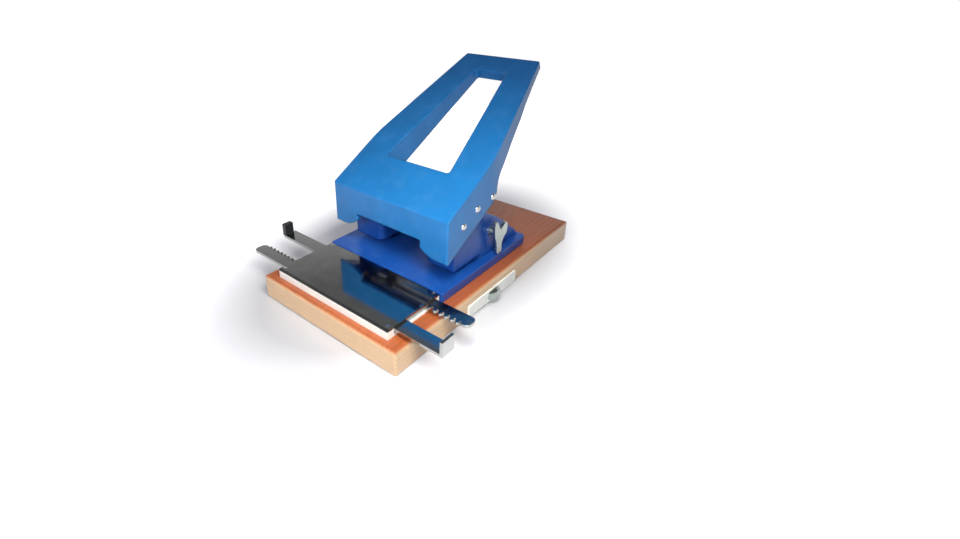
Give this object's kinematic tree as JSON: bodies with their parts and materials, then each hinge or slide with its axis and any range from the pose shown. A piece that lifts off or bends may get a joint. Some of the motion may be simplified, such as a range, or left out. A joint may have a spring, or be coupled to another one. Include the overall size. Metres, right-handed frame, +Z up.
{
  "type": "adjustable hole punch",
  "caption": "Desk hole punch: a sprung hollow lever over punch towers on a wooden base, with rack-linked side guides, a depth stop and a chip drawer.",
  "frame": {"origin": "centre of the felt's underside, on the surface that the punch stands on", "axes": "+X to the right, +Y to the rear, away from the paper platform, +Z up"},
  "size_m": [0.263, 0.318, 0.2184],
  "materials": {
    "felt": "pressed wool felt",
    "board_wood": "stained and lacquered",
    "panel_wood": "raw plywood",
    "tray_plastic": "moulded, fine grain",
    "cream_plastic": "moulded, semi-gloss",
    "pull_metal": "pressed and nickel plated",
    "steel": "bright zinc plated",
    "blue_enamel": "gloss enamel",
    "tool_steel": "ground and hardened",
    "spring_steel": "drawn wire",
    "bronze": "sintered",
    "polished_steel": "polished sheet",
    "black_plastic": "moulded",
    "guide_plastic": "moulded",
    "bar_steel": "brushed sheet",
    "brass": "machined",
    "wing_metal": "cast and nickel plated"
  },
  "bodies": {
    "root": {"felt_pad": "felt", "board": "board_wood", "floor_panel": "panel_wood", "base_plate": "blue_enamel", "base_screws": "steel", "left_tower": "blue_enamel", "right_tower": "blue_enamel", "tower_bolts": "steel", "left_die": "tool_steel", "right_die": "tool_steel", "left_spring": "spring_steel", "right_spring": "spring_steel", "pivot_bushes": "bronze", "platform_plate": "polished_steel", "platform_edge": "black_plastic", "rack_housing": "cream_plastic", "platform_screws": "steel", "left_rack_guide": "guide_plastic", "right_rack_guide": "guide_plastic", "pinion_pin": "steel", "clamp_bush": "steel"},
    "drawer": {"drawer_tray": "tray_plastic", "drawer_front": "cream_plastic", "drawer_pull": "pull_metal", "pull_screw": "steel"},
    "lever": {"lever": "blue_enamel", "pivot_shaft": "steel", "press_shaft": "steel", "roller_clips": "spring_steel", "stop_rod": "steel"},
    "left_roller": {"left_roller": "tool_steel"},
    "right_roller": {"right_roller": "tool_steel"},
    "left_pin": {"left_pin": "tool_steel"},
    "right_pin": {"right_pin": "tool_steel"},
    "front_rack": {"front_rack": "bar_steel"},
    "rear_rack": {"rear_rack": "bar_steel", "rack_cap": "black_plastic"},
    "pinion": {"pinion": "brass"},
    "depth_stop": {"depth_stop": "bar_steel"},
    "wing_screw": {"wing_screw": "wing_metal"}
  },
  "joints": [
    {"name": "lever_press", "type": "hinge", "parent": "root", "child": "lever", "pos_m": [0, -0.046, 0.093], "axis": [1, 0, 0], "range_deg": [-20, 0], "stiffness_Nm_per_rad": 4, "springref_deg": 34.38},
    {"name": "left_pin_slide", "type": "slide", "parent": "root", "child": "left_pin", "axis": [0, 0, 1], "range_m": [-0.0086, 0], "deforming": ["left_spring"]},
    {"name": "right_pin_slide", "type": "slide", "parent": "root", "child": "right_pin", "axis": [0, 0, 1], "range_m": [-0.0086, 0], "deforming": ["right_spring"]},
    {"name": "left_roller_spin", "type": "hinge", "parent": "lever", "child": "left_roller", "pos_m": [-0.04, -0.02402, 0.10351], "axis": [1, 0, 0], "continuous": true},
    {"name": "right_roller_spin", "type": "hinge", "parent": "lever", "child": "right_roller", "pos_m": [0.04, -0.02402, 0.10351], "axis": [1, 0, 0], "continuous": true},
    {"name": "front_rack_slide", "type": "slide", "parent": "root", "child": "front_rack", "axis": [1, 0, 0], "range_m": [-0.045, 0.07]},
    {"name": "rear_rack_slide", "type": "slide", "parent": "root", "child": "rear_rack", "axis": [1, 0, 0], "range_m": [-0.07, 0.045]},
    {"name": "pinion_spin", "type": "hinge", "parent": "root", "child": "pinion", "pos_m": [0, -0.1141, 0.0322], "axis": [0, 0, 1], "range_deg": [-185, 287]},
    {"name": "drawer_slide", "type": "slide", "parent": "root", "child": "drawer", "axis": [1, 0, 0], "range_m": [0, 0.1]},
    {"name": "depth_stop_slide", "type": "slide", "parent": "root", "child": "depth_stop", "axis": [0, 1, 0], "range_m": [-0.004, 0.01]},
    {"name": "wing_screw_turn", "type": "hinge", "parent": "root", "child": "wing_screw", "pos_m": [0.07, 0.015, 0.062], "axis": [1, 0, 0], "continuous": true}
  ],
  "couplings": [
    {"joint": "left_pin_slide", "follows": "lever_press", "m_per_rad": 0.024},
    {"joint": "right_pin_slide", "follows": "lever_press", "m_per_rad": 0.024},
    {"joint": "rear_rack_slide", "follows": "front_rack_slide", "ratio": -1},
    {"joint": "pinion_spin", "follows": "front_rack_slide", "rad_per_m": 71.429}
  ]
}
